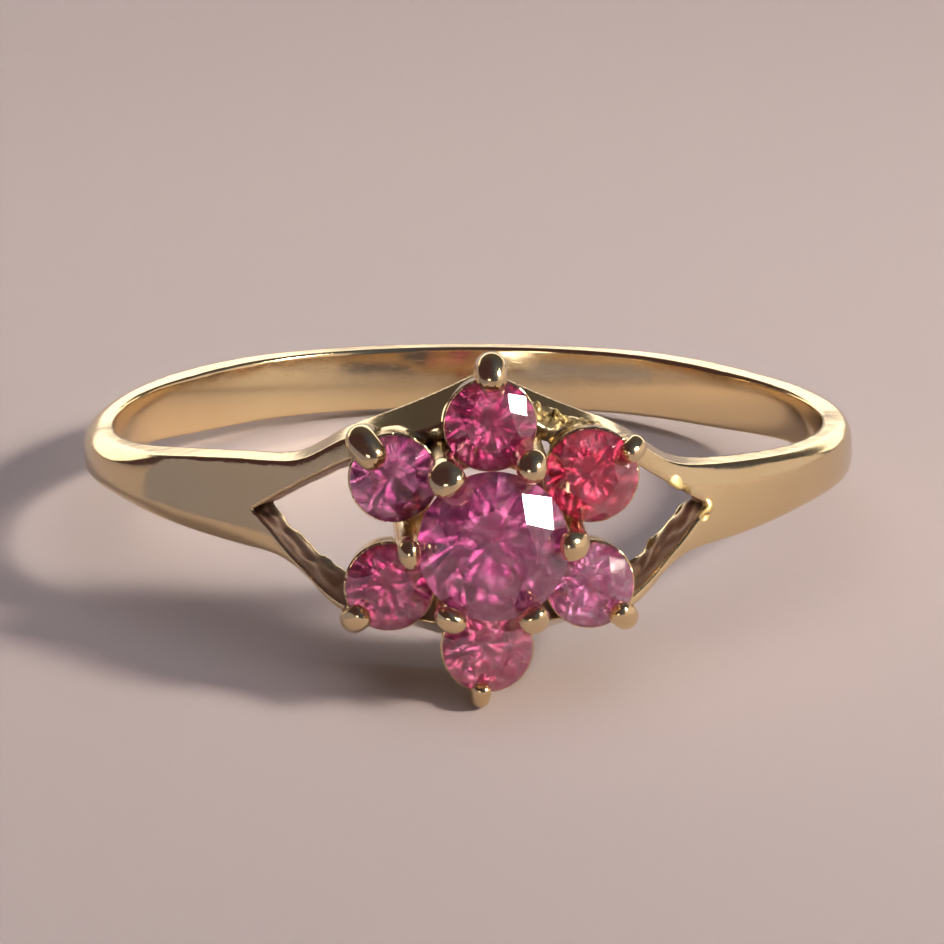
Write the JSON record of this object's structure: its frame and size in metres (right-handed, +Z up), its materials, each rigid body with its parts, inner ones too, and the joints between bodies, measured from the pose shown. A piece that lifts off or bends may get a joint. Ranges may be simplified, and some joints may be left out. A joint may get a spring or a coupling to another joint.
{
  "type": "cluster ring",
  "caption": "Yellow gold finger ring with a raised round stone inside a circle of smaller round stones, claw set on an open gallery and split shoulders.",
  "frame": {"origin": "centre of the finger bore, halfway across the band", "axes": "the ring lies on its side as it rests by itself: +Z is up, the stones face -Y and tip down a little, and the finger bore's axis leans from +Z towards +Y by the same small angle"},
  "size_m": [0.0188, 0.0224, 0.008],
  "materials": {
    "yellow_gold": "pale yellow gold, polished but worn, with dark crevices under the head",
    "centre_stone": "faceted plum-pink transparent stone",
    "petal_stone": "faceted ruby-pink transparent stone"
  },
  "bodies": {
    "root": {"gold_mount": "yellow_gold", "centre_stone": "centre_stone", "petal_stone_1": "petal_stone", "petal_stone_2": "petal_stone", "petal_stone_3": "petal_stone", "petal_stone_4": "petal_stone", "petal_stone_5": "petal_stone", "petal_stone_6": "petal_stone"}
  },
  "joints": []
}
